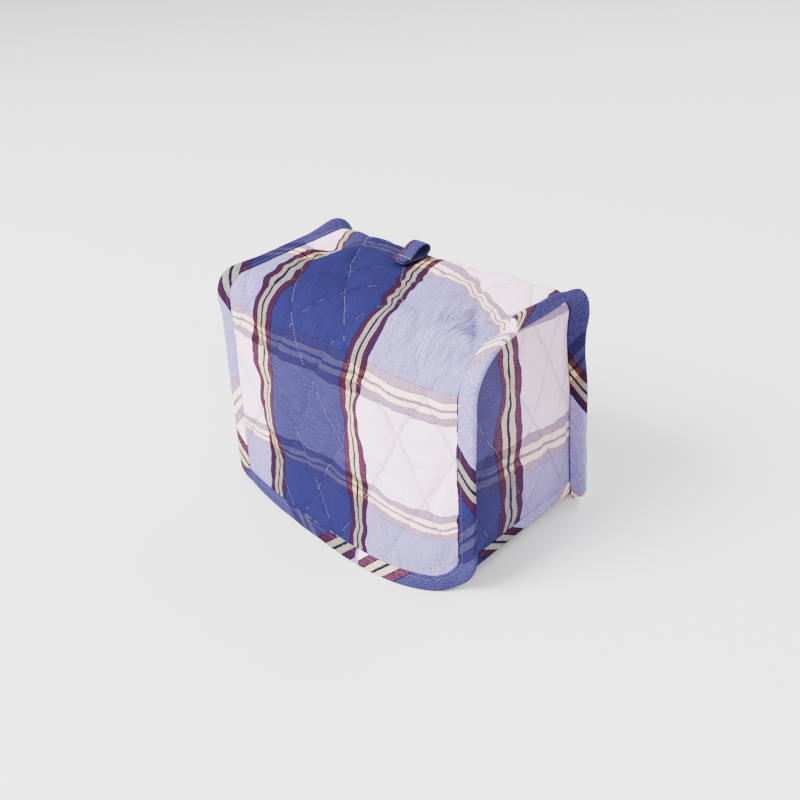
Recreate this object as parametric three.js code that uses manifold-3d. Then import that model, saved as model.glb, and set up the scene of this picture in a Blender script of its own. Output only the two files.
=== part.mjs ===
// Quilted toaster cover in check cotton, empty and standing on its own hem.
// Millimetres. X runs along the long side, the front faces -Y and Z is up.
import * as THREE from "three";
import { mergeVertices } from "three/addons/utils/BufferGeometryUtils.js";
import Module from "manifold-3d";

// Main panel: one quilted length that runs up the front, over the top and down the back.
const panelHalfWidth = 140;
const clothLength = 630;
const quiltThickness = 5;
const pieceGap = 0.3;

// Height and depth of the standing cover, measured at its outside.
const frontDepthAtSeam = 90;
const backDepthAtSeam = 97;
const frontBow = 8;
const frontFlare = 20;
const backFlare = 8;
const flareHeight = 150;
const frontRun = 180;
const backRun = 198;

// Bias-cut binding sewn round the whole main panel; at the ends it stands out as a flange.
const bindingWidth = 16;
const bindingStep = 12;
const bindingCorners = { frontLeft: 18, frontRight: 42, backRight: 17, backLeft: 22 };

// Quilting: stitched diamonds that leave the cloth puffed between the lines.
const diamondWidth = 60;
const diamondHeight = 104;
const diamondAnchor = { u: -10, v: 62 };
const puffHeight = 3.5;
const flatMargin = 16;
const cellsPerDiamond = 6;

// End panels hang a little above the floor and belly outward.
const endDiamondHeight = 100;
const endAnchor = { y: 12, z: 36 };
const endRecess = 1.5;
const endBelly = 6;
const endBellyReach = 60;
const endHemWidth = 14;
const endHemHeight = { front: 13, back: 6 };
const endHemSteps = 14;
const endHemInset = 6;

// The slab of quilted cloth that an end panel is cut from, and how far the cut reaches through it.
const endSlab = { reachY: 110, low: 5, high: 255 };
const endCut = { from: 110, depth: 60 };

// Hanging loop: a narrow strip doubled over, its two ends stitched down on the top.
const loopWidth = 18;
const loopThickness = 2;
const loopFoot = { x: -30, y: 34.5 };
const loopTurn = THREE.MathUtils.degToRad(-8);

// Middle of the finished cover's bounding box, so that the origin lies under it.
const boxMiddle = { x: -0.463, y: -5.501 };

// Rounding and height of the section, by its place t across the panel: -1 is the left seam, 1 the right.
const frontRadius = [
  { at: -1, value: 20 },
  { at: -0.55, value: 44 },
  { at: 0, value: 56 },
  { at: 0.6, value: 52 },
  { at: 1, value: 42 },
];
const backRadius = [
  { at: -1, value: 22 },
  { at: 0, value: 30 },
  { at: 1, value: 30 },
];
const frontTopHeight = [
  { at: -1, value: 239 },
  { at: 0, value: 238 },
  { at: 0.75, value: 238 },
  { at: 1, value: 240 },
];
const backTopHeight = [
  { at: -1, value: 242 },
  { at: -0.6, value: 239 },
  { at: -0.2, value: 235 },
  { at: 0.3, value: 237 },
  { at: 0.65, value: 239 },
  { at: 1, value: 236 },
];

// Distance from the centre line to each seam, and the flange's tilt in degrees, by length along the cloth.
const leftSeam = [
  { at: 0, value: 145 },
  { at: 120, value: 142 },
  { at: 194, value: 138 },
  { at: 240, value: 136 },
  { at: 330, value: 138 },
  { at: 420, value: 139 },
  { at: 630, value: 142 },
];
const rightSeam = [
  { at: 0, value: 141 },
  { at: 140, value: 140 },
  { at: 200, value: 141 },
  { at: 260, value: 142 },
  { at: 330, value: 143 },
  { at: 400, value: 138 },
  { at: 440, value: 135 },
  { at: 510, value: 140 },
  { at: 630, value: 144 },
];
const leftTilt = [
  { at: 0, value: 0 },
  { at: 190, value: 2 },
  { at: 235, value: 14 },
  { at: 295, value: 5 },
  { at: 345, value: 9 },
  { at: 400, value: 46 },
  { at: 425, value: 40 },
  { at: 470, value: 5 },
];
const rightTilt = [
  { at: 0, value: 0 },
  { at: 190, value: 4 },
  { at: 240, value: 14 },
  { at: 276, value: 30 },
  { at: 292, value: 78 },
  { at: 340, value: 72 },
  { at: 385, value: 40 },
  { at: 415, value: 15 },
  { at: 460, value: 2 },
];

// Hollows and swells of the draped cloth: centre, spread and depth, outward positive.
const swells = [
  { u: 112, v: 292, spreadU: 17, spreadV: 28, depth: -10 },
  { u: 0, v: 115, spreadU: 90, spreadV: 60, depth: 3 },
  { u: 30, v: 345, spreadU: 80, spreadV: 40, depth: -3 },
  { u: -70, v: 300, spreadU: 34, spreadV: 40, depth: -3 },
  { u: 66, v: 262, spreadU: 34, spreadV: 34, depth: 3 },
  { u: -112, v: 130, spreadU: 26, spreadV: 60, depth: -4 },
  { u: 60, v: 500, spreadU: 70, spreadV: 60, depth: 4 },
  { u: -60, v: 460, spreadU: 50, spreadV: 50, depth: -4 },
  { u: -114, v: 336, spreadU: 13, spreadV: 27, depth: -9 },
  { u: -88, v: 334, spreadU: 16, spreadV: 27, depth: 4 },
];

// Outline of the binding's cross-section: across from the seam, and out from the cloth's face.
const bindingSection = [
  { across: 0.3, out: -0.6 },
  { across: 2.5, out: 0.9 },
  { across: 8, out: 1.3 },
  { across: 13.5, out: 0.9 },
  { across: 16, out: -0.5 },
  { across: 16, out: -3.5 },
  { across: 13.5, out: -4.9 },
  { across: 8, out: -5.3 },
  { across: 2.5, out: -4.9 },
  { across: 0.3, out: -3.4 },
];

// The loop's strip from end to end, as distance back from its foot and height: the upper layer returns.
const loopPath = [
  { y: 0, z: 1 },
  { y: 10, z: 1 },
  { y: 20, z: 1 },
  { y: 28, z: 1.6 },
  { y: 33.5, z: 4 },
  { y: 36, z: 8 },
  { y: 33.5, z: 12 },
  { y: 28, z: 13.4 },
  { y: 21, z: 11.4 },
  { y: 14.5, z: 6.6 },
  { y: 9.5, z: 3.6 },
  { y: 0, z: 3.3 },
];
const loopSteps = 30;

function ease(amount) {
  const t = Math.min(1, Math.max(0, amount));
  return t * t * (3 - 2 * t);
}

function valueAt(rows, place) {
  if (place <= rows[0].at) return rows[0].value;
  for (let i = 1; i < rows.length; i++) {
    const low = rows[i - 1];
    const high = rows[i];
    if (place <= high.at) {
      return low.value + (high.value - low.value) * ease((place - low.at) / (high.at - low.at));
    }
  }
  return rows[rows.length - 1].value;
}

// The section at t: three straight runs joined by two arcs, as lengths and directions in the YZ plane.
function sectionAt(t) {
  const bow = 1 - t * t;
  const corners = [
    new THREE.Vector2(-(frontDepthAtSeam + frontBow * bow), 0),
    new THREE.Vector2(-(frontDepthAtSeam + 1 + 5 * bow), valueAt(frontTopHeight, t)),
    new THREE.Vector2(backDepthAtSeam - 11 + 5 * bow, valueAt(backTopHeight, t)),
    new THREE.Vector2(backDepthAtSeam + 5 * bow, 0),
  ];
  const directions = [0, 1, 2].map((i) => corners[i + 1].clone().sub(corners[i]).normalize());
  const radii = [valueAt(frontRadius, t), valueAt(backRadius, t)];
  const turns = [0, 1].map((i) => Math.acos(directions[i].dot(directions[i + 1])));
  const cuts = [0, 1].map((i) => radii[i] * Math.tan(turns[i] / 2));
  const lengths = [
    corners[0].distanceTo(corners[1]) - cuts[0],
    radii[0] * turns[0],
    corners[1].distanceTo(corners[2]) - cuts[0] - cuts[1],
    radii[1] * turns[1],
    corners[2].distanceTo(corners[3]) - cuts[1],
  ];
  return { corners, directions, radii, cuts, lengths };
}

function outward(direction) {
  return new THREE.Vector2(-direction.y, direction.x);
}

function straightPoint(start, direction, distance) {
  return { point: start.clone().addScaledVector(direction, distance), normal: outward(direction) };
}

function arcPoint(section, corner, distance) {
  const before = section.directions[corner];
  const radius = section.radii[corner];
  const centre = section.corners[corner + 1]
    .clone()
    .addScaledVector(before, -section.cuts[corner])
    .addScaledVector(outward(before), -radius);
  const direction = before.clone().rotateAround(new THREE.Vector2(), -distance / radius);
  const normal = outward(direction);
  return { point: centre.addScaledVector(normal, radius), normal };
}

// The point and outward direction of the outer face at t across and v along, before hollows and swells.
function sectionPoint(t, v) {
  const section = sectionAt(t);
  const total = section.lengths.reduce((sum, length) => sum + length, 0);
  const middleShare = (total - frontRun - backRun) / (clothLength - frontRun - backRun);
  let rest = frontRun + (v - frontRun) * middleShare;
  if (v <= frontRun) rest = v;
  if (v >= clothLength - backRun) rest = total - (clothLength - v);
  const { corners, directions, cuts, lengths } = section;
  if (rest <= lengths[0]) return straightPoint(corners[0], directions[0], rest);
  rest -= lengths[0];
  if (rest <= lengths[1]) return arcPoint(section, 0, rest);
  rest -= lengths[1];
  if (rest <= lengths[2]) return straightPoint(corners[1], directions[1], cuts[0] + rest);
  rest -= lengths[2];
  if (rest <= lengths[3]) return arcPoint(section, 1, rest);
  return straightPoint(corners[2], directions[2], cuts[1] + rest - lengths[3]);
}

// Skirts of the front and back lean outward near the floor, most in the middle.
function flareAt(t, v) {
  const full = 1 - Math.abs(t) ** (t > 0 ? 5 : 2.6);
  const front = Math.max(0, 1 - v / flareHeight) ** 1.7;
  const back = Math.max(0, 1 - (clothLength - v) / flareHeight) ** 1.7;
  const frontReach = frontFlare * full + 5 * Math.sin(Math.PI * t);
  return backFlare * full * back - frontReach * front;
}

// Place of the cloth at u across, v along and n out from its outer face; past the seam it is the flange.
function clothPoint(u, v, n) {
  const side = u < 0 ? -1 : 1;
  const past = Math.max(0, Math.abs(u) - panelHalfWidth);
  const t = (u - side * past) / panelHalfWidth;
  const { point, normal } = sectionPoint(t, v);
  point.x += flareAt(t, v);
  for (const swell of swells) {
    const far = ((u - side * past - swell.u) / swell.spreadU) ** 2 + ((v - swell.v) / swell.spreadV) ** 2;
    point.addScaledVector(normal, swell.depth * Math.exp(-far));
  }
  const tilt = past > 0 ? THREE.MathUtils.degToRad(valueAt(side < 0 ? leftTilt : rightTilt, v)) : 0;
  point.addScaledVector(normal, past * Math.sin(tilt) + n * Math.cos(tilt));
  const seam = valueAt(side < 0 ? leftSeam : rightSeam, v);
  const x = t * seam + side * (past * Math.cos(tilt) - n * Math.sin(tilt));
  return new THREE.Vector3(x, point.x, point.y);
}

// A closed sheet from two matching grids of points, with its rim; the outer grid faces outward.
function sheetGeometry(outer, inner, fallsLeft) {
  const columns = outer.length;
  const rows = outer[0].length;
  const positions = [];
  for (const face of [outer, inner]) {
    for (const column of face) {
      for (const point of column) positions.push(point.x, point.y, point.z);
    }
  }
  const at = (layer, i, j) => layer * columns * rows + i * rows + j;
  const index = [];
  for (let i = 0; i + 1 < columns; i++) {
    for (let j = 0; j + 1 < rows; j++) {
      for (const layer of [0, 1]) {
        const a = at(layer, i, j);
        const b = at(layer, i + 1, j);
        const c = at(layer, i + 1, j + 1);
        const d = at(layer, i, j + 1);
        const faces = fallsLeft(i, j) ? [a, b, d, b, c, d] : [a, b, c, a, c, d];
        index.push(...(layer === 0 ? faces : faces.reverse()));
      }
    }
  }
  const addRim = (i0, j0, i1, j1) => {
    const a = at(0, i0, j0);
    const b = at(0, i1, j1);
    const c = at(1, i1, j1);
    const d = at(1, i0, j0);
    index.push(a, d, b, b, d, c);
  };
  for (let i = 0; i + 1 < columns; i++) {
    addRim(i, 0, i + 1, 0);
    addRim(i + 1, rows - 1, i, rows - 1);
  }
  for (let j = 0; j + 1 < rows; j++) {
    addRim(0, j + 1, 0, j);
    addRim(columns - 1, j, columns - 1, j + 1);
  }
  return indexedGeometry(positions, index);
}

// A closed strip from a list of rings with the same number of points; a loop joins its last ring to its first.
function stripGeometry(rings, isLoop) {
  const size = rings[0].length;
  const positions = rings.flat().flatMap((point) => [point.x, point.y, point.z]);
  const index = [];
  const spans = isLoop ? rings.length : rings.length - 1;
  for (let k = 0; k < spans; k++) {
    const here = k * size;
    const next = ((k + 1) % rings.length) * size;
    for (let m = 0; m < size; m++) {
      const n = (m + 1) % size;
      index.push(here + m, next + n, next + m, here + m, here + n, next + n);
    }
  }
  if (!isLoop) {
    const last = (rings.length - 1) * size;
    for (let m = 1; m + 1 < size; m++) {
      index.push(0, m + 1, m, last, last + m, last + m + 1);
    }
  }
  return indexedGeometry(positions, index);
}

function indexedGeometry(positions, index) {
  const geometry = new THREE.BufferGeometry();
  geometry.setAttribute("position", new THREE.Float32BufferAttribute(positions, 3));
  geometry.setIndex(index);
  return geometry;
}

// The puff of the cloth between the stitched diamonds, 0 on the lines and 1 in the middle of a diamond.
function puffAt(across, along) {
  return Math.abs(Math.sin(Math.PI * (across + along)) * Math.sin(Math.PI * (across - along))) ** 0.6;
}

function isWhole(number) {
  return Math.abs(number - Math.round(number)) < 0.01;
}

// Grid lines from low to high that pass through the anchor, with the two ends added.
function gridLines(low, high, anchor, step) {
  const lines = [low];
  const first = Math.ceil((low + step / 3 - anchor) / step);
  for (let k = first; anchor + k * step < high - step / 3; k++) lines.push(anchor + k * step);
  lines.push(high);
  return lines;
}

// Half width of the main panel at v, less the rounding of its corner on that side.
function panelLimit(side, v) {
  const { frontLeft, frontRight, backRight, backLeft } = bindingCorners;
  const front = (side < 0 ? frontLeft : frontRight) - bindingWidth;
  const back = (side < 0 ? backLeft : backRight) - bindingWidth;
  const intoFront = Math.max(0, front - (v - bindingWidth));
  const intoBack = Math.max(0, back - (clothLength - bindingWidth - v));
  const lost = (radius, into) => radius - Math.sqrt(Math.max(0, radius ** 2 - into ** 2));
  return panelHalfWidth - lost(front, intoFront) - lost(back, intoBack);
}

function roundedColumn(u, v) {
  const side = u < 0 ? -1 : 1;
  const kept = panelHalfWidth - 60;
  if (Math.abs(u) <= kept) return u;
  const limit = panelLimit(side, v);
  return side * (kept + ((Math.abs(u) - kept) * (limit - kept)) / (panelHalfWidth - kept));
}

function mainPanelGrid() {
  const columns = gridLines(-panelHalfWidth, panelHalfWidth, diamondAnchor.u, diamondWidth / cellsPerDiamond);
  const low = bindingWidth;
  const rows = gridLines(low, clothLength - low, diamondAnchor.v, diamondHeight / cellsPerDiamond);
  rows.splice(1, 0, low + 2, low + 5.5);
  return { columns, rows };
}

function mainPanelGeometry() {
  const { columns, rows } = mainPanelGrid();
  const across = (u) => (u - diamondAnchor.u) / diamondWidth;
  const along = (v) => (v - diamondAnchor.v) / diamondHeight;
  const face = (out) =>
    columns.map((column) => rows.map((v) => clothPoint(roundedColumn(column, v), v, out(column, v))));
  const puff = (u, v) => {
    const edge = Math.min(panelHalfWidth - Math.abs(u), v - bindingWidth, clothLength - bindingWidth - v);
    return puffHeight * puffAt(across(u), along(v)) * ease(edge / flatMargin);
  };
  const fallsLeft = (i, j) => isWhole(across(columns[i]) + along(rows[j + 1]));
  return sheetGeometry(face(puff), face(() => -quiltThickness), fallsLeft);
}

// Stations round the main panel's edge: the seam point and the direction out from it, in the flat cloth.
function bindingStations() {
  const low = bindingWidth;
  const high = clothLength - bindingWidth;
  const corners = [
    { u: -panelHalfWidth, v: low, radius: bindingCorners.frontLeft, start: 180 },
    { u: panelHalfWidth, v: low, radius: bindingCorners.frontRight, start: 270 },
    { u: panelHalfWidth, v: high, radius: bindingCorners.backRight, start: 0 },
    { u: -panelHalfWidth, v: high, radius: bindingCorners.backLeft, start: 90 },
  ];
  const arcEnd = (corner, degrees) => {
    const angle = THREE.MathUtils.degToRad(degrees);
    const inner = corner.radius - bindingWidth;
    const centreU = corner.u - Math.sign(corner.u) * inner;
    const centreV = corner.v + (corner.v < clothLength / 2 ? inner : -inner);
    const du = Math.cos(angle);
    const dv = Math.sin(angle);
    return { u: centreU + du * inner, v: centreV + dv * inner, du, dv };
  };
  const stations = [];
  corners.forEach((corner, k) => {
    const arcSteps = Math.max(4, Math.round((corner.radius * Math.PI) / 2 / bindingStep));
    for (let m = 0; m <= arcSteps; m++) {
      stations.push(arcEnd(corner, corner.start + (90 * m) / arcSteps));
    }
    const from = stations[stations.length - 1];
    const next = corners[(k + 1) % 4];
    const to = arcEnd(next, next.start);
    const steps = Math.round(Math.hypot(to.u - from.u, to.v - from.v) / bindingStep);
    for (let m = 1; m < steps; m++) {
      const share = m / steps;
      const u = from.u + (to.u - from.u) * share;
      const v = from.v + (to.v - from.v) * share;
      stations.push({ u, v, du: from.du, dv: from.dv });
    }
  });
  return stations;
}

// Lowest points of the hem all lie on the floor, so the cover stands flat.
function settled(point) {
  if (point.z < pieceGap) point.z = 0;
  return point;
}

function bindingGeometry() {
  const rings = bindingStations().map(({ u, v, du, dv }) =>
    bindingSection.map(({ across, out }) => settled(clothPoint(u + du * across, v + dv * across, out))),
  );
  return stripGeometry(rings, true);
}

// Place of an end panel's face: its own belly on top of the line between the two upright seams.
function endFaceX(side, y, z, edgeDistance) {
  const seam = side < 0 ? leftSeam : rightSeam;
  const front = valueAt(seam, z);
  const back = valueAt(seam, clothLength - z);
  const share = (y + frontDepthAtSeam) / (frontDepthAtSeam + backDepthAtSeam);
  const level = front + (back - front) * share;
  return level - endRecess + endBelly * ease(edgeDistance / endBellyReach);
}

// The end panel's outline: just inside the main panel's edge, and along its own hem at the bottom.
function endOutline(side) {
  const rows = mainPanelGrid().rows;
  const lowFront = endHemHeight.front + endHemWidth;
  const lowBack = clothLength - endHemHeight.back - endHemWidth;
  const between = rows.filter((v) => v > lowFront + 1 && v < lowBack - 1);
  return [lowFront, ...between, lowBack].map((v) => {
    const seamPlace = clothPoint(side * panelHalfWidth, v, 0);
    const insidePlace = clothPoint(side * (panelHalfWidth - diamondWidth / cellsPerDiamond), v, 0);
    const { normal } = sectionPoint(side, v);
    const drop = (seamPlace.y - insidePlace.y) * normal.x + (seamPlace.z - insidePlace.z) * normal.y;
    const inward = quiltThickness + pieceGap + Math.max(0, drop);
    return new THREE.Vector2(seamPlace.y - normal.x * inward, seamPlace.z - normal.y * inward);
  });
}

function distanceToOutline(outline, y, z) {
  const place = new THREE.Vector3(y, z, 0);
  const nearest = new THREE.Vector3();
  let best = Infinity;
  outline.forEach((from, k) => {
    const to = outline[(k + 1) % outline.length];
    const edge = new THREE.Line3(new THREE.Vector3(from.x, from.y, 0), new THREE.Vector3(to.x, to.y, 0));
    edge.closestPointToPoint(place, true, nearest);
    best = Math.min(best, nearest.distanceTo(place));
  });
  return best;
}

const wasm = await Module();
wasm.setup();

function solidFrom(geometry) {
  const bare = geometry.index ? geometry.toNonIndexed() : geometry.clone();
  for (const name of Object.keys(bare.attributes)) {
    if (name !== "position") bare.deleteAttribute(name);
  }
  const merged = mergeVertices(bare, 1e-4);
  return new wasm.Manifold(
    new wasm.Mesh({
      numProp: 3,
      vertProperties: new Float32Array(merged.attributes.position.array),
      triVerts: new Uint32Array(merged.index.array),
    }),
  );
}

function geometryFrom(solid) {
  const mesh = solid.getMesh();
  const positions = [];
  for (let k = 0; k < mesh.vertProperties.length; k += mesh.numProp) {
    positions.push(...mesh.vertProperties.subarray(k, k + 3));
  }
  return indexedGeometry(positions, Array.from(mesh.triVerts));
}

function endPanelGeometry(side) {
  const outline = endOutline(side);
  const { reachY, low, high } = endSlab;
  const columns = gridLines(-reachY, reachY, endAnchor.y, diamondWidth / cellsPerDiamond);
  const rows = gridLines(low, high, endAnchor.z, endDiamondHeight / cellsPerDiamond);
  const across = (y) => (y - endAnchor.y) / diamondWidth;
  const along = (z) => (z - endAnchor.z) / endDiamondHeight;
  const face = (puff, back) =>
    columns.map((y) =>
      rows.map((z) => {
        const edge = distanceToOutline(outline, y, z);
        const out = puff * puffAt(across(y), along(z)) * ease(edge / flatMargin) - back;
        return new THREE.Vector3(endFaceX(side, y, z, edge) + out, y, z);
      }),
    );
  const fallsLeft = (i, j) => isWhole(across(columns[i]) + along(rows[j + 1]));
  const slab = solidFrom(sheetGeometry(face(puffHeight, 0), face(0, quiltThickness), fallsLeft));
  const shape = new THREE.Shape(outline);
  const prism = new THREE.ExtrudeGeometry(shape, { depth: endCut.depth, bevelEnabled: false });
  prism.applyMatrix4(new THREE.Matrix4().set(0, 0, 1, endCut.from, 1, 0, 0, 0, 0, 1, 0, 0, 0, 0, 0, 1));
  const cut = geometryFrom(slab.intersect(solidFrom(prism)));
  return side < 0 ? mirrored(cut) : cut;
}

function mirrored(geometry) {
  const turned = geometry.clone().scale(-1, 1, 1);
  const index = turned.index.array;
  for (let k = 0; k < index.length; k += 3) {
    [index[k], index[k + 1]] = [index[k + 1], index[k]];
  }
  return turned;
}

// Bias strip on an end panel's lower edge, between the front and back hems.
function endHemGeometry(side) {
  const middle = endHemWidth / 2;
  const seam = side * panelHalfWidth;
  const from = clothPoint(seam, endHemHeight.front + middle, -endHemInset).y;
  const to = clothPoint(seam, clothLength - endHemHeight.back - middle, -endHemInset).y;
  const outline = endOutline(side);
  const seamFront = outline[0];
  const seamBack = outline[outline.length - 1];
  const rings = [];
  for (let k = 0; k <= endHemSteps; k++) {
    const y = from + ((to - from) * k) / endHemSteps;
    const share = (y - seamFront.x) / (seamBack.x - seamFront.x);
    const top = seamFront.y + (seamBack.y - seamFront.y) * share;
    const x = endFaceX(side, y, top, 0);
    rings.push(
      bindingSection.map(({ across, out }) => {
        const down = (across * endHemWidth) / bindingWidth;
        return new THREE.Vector3(side * (x + out), y, top - down);
      }),
    );
  }
  return stripGeometry(side > 0 ? rings : rings.reverse(), false);
}

// Height of the main panel's outer face straight below a point.
function topHeightAt(panelMesh, x, y) {
  const caster = new THREE.Raycaster(new THREE.Vector3(x, y, 400), new THREE.Vector3(0, 0, -1));
  return caster.intersectObject(panelMesh)[0].point.z;
}

// Place on the loop's strip: across it, and back from its foot along the turned centre line.
function loopPlace(across, along) {
  const place = new THREE.Vector2(across, along).rotateAround(new THREE.Vector2(), loopTurn);
  return { x: loopFoot.x + place.x, y: loopFoot.y + place.y };
}

function loopGeometry(panelMesh) {
  const curve = new THREE.CatmullRomCurve3(loopPath.map(({ y, z }) => new THREE.Vector3(0, y, z)));
  const half = loopWidth / 2;
  let rest = -Infinity;
  for (let across = -half; across <= half; across += half / 4) {
    for (const { y, z } of curve.getSpacedPoints(loopSteps)) {
      const under = loopPlace(across, y);
      rest = Math.max(rest, topHeightAt(panelMesh, under.x, under.y) - (z - loopThickness / 2));
    }
  }
  const rings = [];
  for (let k = 0; k <= loopSteps; k++) {
    const centre = curve.getPointAt(k / loopSteps);
    const tangent = curve.getTangentAt(k / loopSteps);
    const outY = (-tangent.z * loopThickness) / 2;
    const outZ = (tangent.y * loopThickness) / 2;
    const corner = (across, side) => {
      const { x, y } = loopPlace(across, centre.y + side * outY);
      return new THREE.Vector3(x, y, centre.z + side * outZ + rest + pieceGap);
    };
    rings.push([corner(-half, 1), corner(half, 1), corner(half, -1), corner(-half, -1)]);
  }
  return stripGeometry(rings, false);
}

const clothColours = {
  panel: 0x8a90c4,
  end: 0xc9bfd8,
  binding: 0x6f78b8,
  loop: 0x6068ac,
};

function clothMesh(name, geometry, colour) {
  geometry.computeVertexNormals();
  const material = new THREE.MeshStandardMaterial({ color: colour, roughness: 0.92, metalness: 0 });
  const mesh = new THREE.Mesh(geometry, material);
  mesh.name = name;
  return mesh;
}

const mainPanel = clothMesh("main_panel", mainPanelGeometry(), clothColours.panel);
const cover = new THREE.Group();
cover.add(
  mainPanel,
  clothMesh("end_panel_right", endPanelGeometry(1), clothColours.end),
  clothMesh("end_panel_left", endPanelGeometry(-1), clothColours.end),
  clothMesh("edge_binding", bindingGeometry(), clothColours.binding),
  clothMesh("end_hem_right", endHemGeometry(1), clothColours.binding),
  clothMesh("end_hem_left", endHemGeometry(-1), clothColours.binding),
  clothMesh("hanging_loop", loopGeometry(mainPanel), clothColours.loop),
);
cover.position.set(-boxMiddle.x, -boxMiddle.y, 0);

export default cover;
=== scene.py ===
# Quilted toaster cover in check cotton, empty and standing on its own hem.
# Cloth places are in millimetres (u across, v along the flat panel); meshes are in metres.
import math

import bmesh
import bpy
from mathutils import Matrix, Vector, noise


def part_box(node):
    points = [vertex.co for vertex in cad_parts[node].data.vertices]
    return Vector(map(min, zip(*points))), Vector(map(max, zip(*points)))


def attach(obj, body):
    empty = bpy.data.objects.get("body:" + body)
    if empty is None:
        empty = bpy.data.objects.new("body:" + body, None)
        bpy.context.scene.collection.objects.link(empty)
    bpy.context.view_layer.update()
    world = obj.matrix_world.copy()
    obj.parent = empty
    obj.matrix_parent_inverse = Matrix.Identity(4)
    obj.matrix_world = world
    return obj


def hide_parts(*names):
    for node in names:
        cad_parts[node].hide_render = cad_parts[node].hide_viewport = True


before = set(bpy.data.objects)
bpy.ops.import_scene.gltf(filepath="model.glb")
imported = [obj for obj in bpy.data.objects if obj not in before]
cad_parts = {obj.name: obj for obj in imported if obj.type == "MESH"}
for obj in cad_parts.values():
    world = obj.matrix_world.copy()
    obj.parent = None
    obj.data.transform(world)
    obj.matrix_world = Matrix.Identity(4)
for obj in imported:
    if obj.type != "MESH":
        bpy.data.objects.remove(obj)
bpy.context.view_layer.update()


# Camera.
# A perspective camera whose place and turn were fitted to the seams and hems in the photo.
camera_place = (0.519021, -0.574475, 0.563877)
camera_azimuth = 41.8
camera_elevation = 29.4
camera_roll = -2.5
camera_turn = (
    Matrix.Rotation(math.radians(camera_azimuth), 4, "Z")
    @ Matrix.Rotation(math.radians(90 - camera_elevation), 4, "X")
    @ Matrix.Rotation(math.radians(camera_roll), 4, "Z")
)


def placed(name, data):
    thing = bpy.data.objects.new(name, data)
    bpy.context.scene.collection.objects.link(thing)
    return thing


camera_data = bpy.data.cameras.new("camera")
camera_data.sensor_width = 36
camera_data.lens = 40.5
camera_data.shift_x = -0.002875
camera_data.shift_y = -0.016625
camera_data.clip_end = 30
camera = placed("camera", camera_data)
camera.matrix_world = Matrix.Translation(camera_place) @ camera_turn
bpy.context.scene.camera = camera


# Floor and light.
# A plain pale floor in a white room. A broad key light stands at the front left, with a weak
# fill on the right and a light behind.
floor_half_size = 8
room_brightness = 1.2
light_target = Vector((0, 0, 0.12))


def plain_material(name, colour, roughness):
    material = bpy.data.materials.new(name)
    material.use_nodes = True
    shader = material.node_tree.nodes["Principled BSDF"]
    shader.inputs["Base Color"].default_value = (*colour, 1)
    shader.inputs["Roughness"].default_value = roughness
    return material


floor_mesh = bpy.data.meshes.new("floor")
shape = bmesh.new()
bmesh.ops.create_grid(shape, x_segments=1, y_segments=1, size=floor_half_size)
shape.to_mesh(floor_mesh)
shape.free()
floor_mesh.materials.append(plain_material("white_floor", (0.93, 0.93, 0.94), 0.8))
floor = placed("floor", floor_mesh)

room = bpy.data.worlds.new("white_room")
room.use_nodes = True
room.node_tree.nodes["Background"].inputs["Color"].default_value = (1, 1, 1, 1)
room.node_tree.nodes["Background"].inputs["Strength"].default_value = room_brightness
bpy.context.scene.world = room


def area_light(name, place, size, power):
    data = bpy.data.lights.new(name, "AREA")
    data.shape = "SQUARE"
    data.size = size
    data.energy = power
    light = placed(name, data)
    light.location = place
    light.rotation_mode = "QUATERNION"
    light.rotation_quaternion = (light_target - Vector(place)).to_track_quat("-Z", "Y")


area_light("key_light", (-1.4, -3.2, 3.3), 2.4, 790)
area_light("fill_light", (3.8, -1.0, 1.9), 2.8, 90)
area_light("rear_light", (0.4, 3.6, 3.5), 2.8, 190)


# Main panel.
# One length of check cotton and wadding that runs up the front, over the top and down the back.
# It is stitched through in diamonds, which pull the weave out of line, and its edges are bound.
panel_half_width = 140
cloth_length = 630
quilt_thickness = 5
binding_width = 16
binding_corners = {"front_left": 18, "front_right": 42, "back_right": 17, "back_left": 22}
frame_shift = Vector((0.463, 5.501, 0))

front_depth = 90
back_depth = 97
front_bow = 8
top_bow = 5
front_lean = 1
back_lean = 11
front_flare = 20
back_flare = 8
flare_twist = 5
flare_height = 150
flare_fall = 1.7
flare_power = {"left": 2.6, "right": 5}
front_run = 180
back_run = 198

diamond_width = 60
diamond_height = 104
diamond_anchor = (-10, 62)
puff_height = 3.3
puff_roundness = 0.6
flat_margin = 16
corner_reach = 60

# Rounding and height of the section by place across: -1 is the left seam and 1 the right.
front_radius = [(-1, 20), (-0.55, 44), (0, 56), (0.6, 52), (1, 42)]
back_radius = [(-1, 22), (0, 30), (1, 30)]
front_top = [(-1, 239), (0, 238), (0.75, 238), (1, 240)]
back_top = [(-1, 242), (-0.6, 239), (-0.2, 235), (0.3, 237), (0.65, 239), (1, 236)]

# Distance from the centre line to each seam, and the flange's tilt in degrees, by place along.
left_seam = [(0, 145), (120, 142), (194, 138), (240, 136), (330, 138), (420, 139), (630, 142)]
right_seam = [
    (0, 141), (140, 140), (200, 141), (260, 142), (330, 143),
    (400, 138), (440, 135), (510, 140), (630, 144),
]
left_tilt = [(0, 0), (190, 2), (235, 14), (295, 5), (345, 9), (400, 46), (425, 40), (470, 5)]
right_tilt = [
    (0, 0), (190, 4), (240, 14), (276, 30), (292, 78),
    (340, 72), (385, 40), (415, 15), (460, 2),
]

# Swells, hollows and creases end at this many of their spreads.
spread_limit = 3

# Hollows and swells of the draped cloth: centre u, v, spread u, v and depth, outward positive.
swells = [
    (112, 292, 17, 28, -10),
    (0, 115, 90, 60, 3),
    (30, 345, 80, 40, -3),
    (-70, 300, 34, 40, -3),
    (66, 262, 34, 34, 3),
    (-112, 130, 26, 60, -4),
    (60, 500, 70, 60, 4),
    (-60, 460, 50, 50, -4),
    (-114, 336, 13, 27, -9),
    (-88, 334, 16, 27, 4),
]


def eased(amount):
    t = min(1, max(0, amount))
    return t * t * (3 - 2 * t)


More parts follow.
